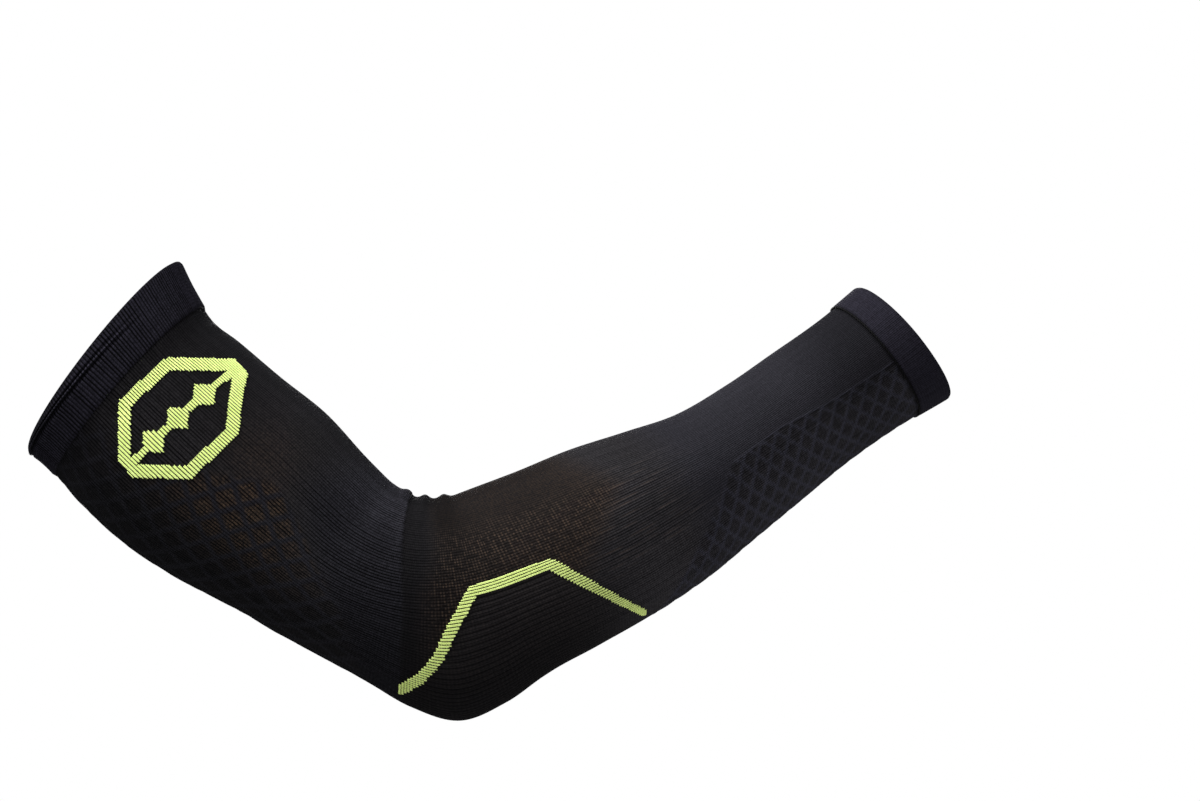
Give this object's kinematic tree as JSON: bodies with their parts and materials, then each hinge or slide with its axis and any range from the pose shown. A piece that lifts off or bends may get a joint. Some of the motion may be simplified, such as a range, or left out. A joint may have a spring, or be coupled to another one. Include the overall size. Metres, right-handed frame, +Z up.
{
  "type": "arm compression sleeve",
  "caption": "Knitted compression sleeve for a bent right arm, from upper arm to wrist, with doubled cuffs, a bent elbow stripe and a raised geometric emblem.",
  "frame": {"origin": "on the sleeve's centreline at the lowest point of its bend, where the sleeve sits on the elbow", "axes": "+X along the centreline at the elbow, from the upper arm towards the wrist, which is also the sleeve's longest extent; +Z up; -Y is the outer side of the arm"},
  "size_m": [0.4377, 0.1276, 0.2159],
  "materials": {
    "body_knit": "matte knitted yarn, black with a slight blue-grey cast",
    "cuff_knit": "matte doubled knit, black with a slight blue cast",
    "lime_yarn": "matte lime yarn in raised stitches"
  },
  "bodies": {
    "root": {"upper_cuff": "cuff_knit", "sleeve_body": "body_knit", "wrist_cuff": "cuff_knit", "elbow_stripe": "lime_yarn", "emblem": "lime_yarn"}
  },
  "joints": []
}
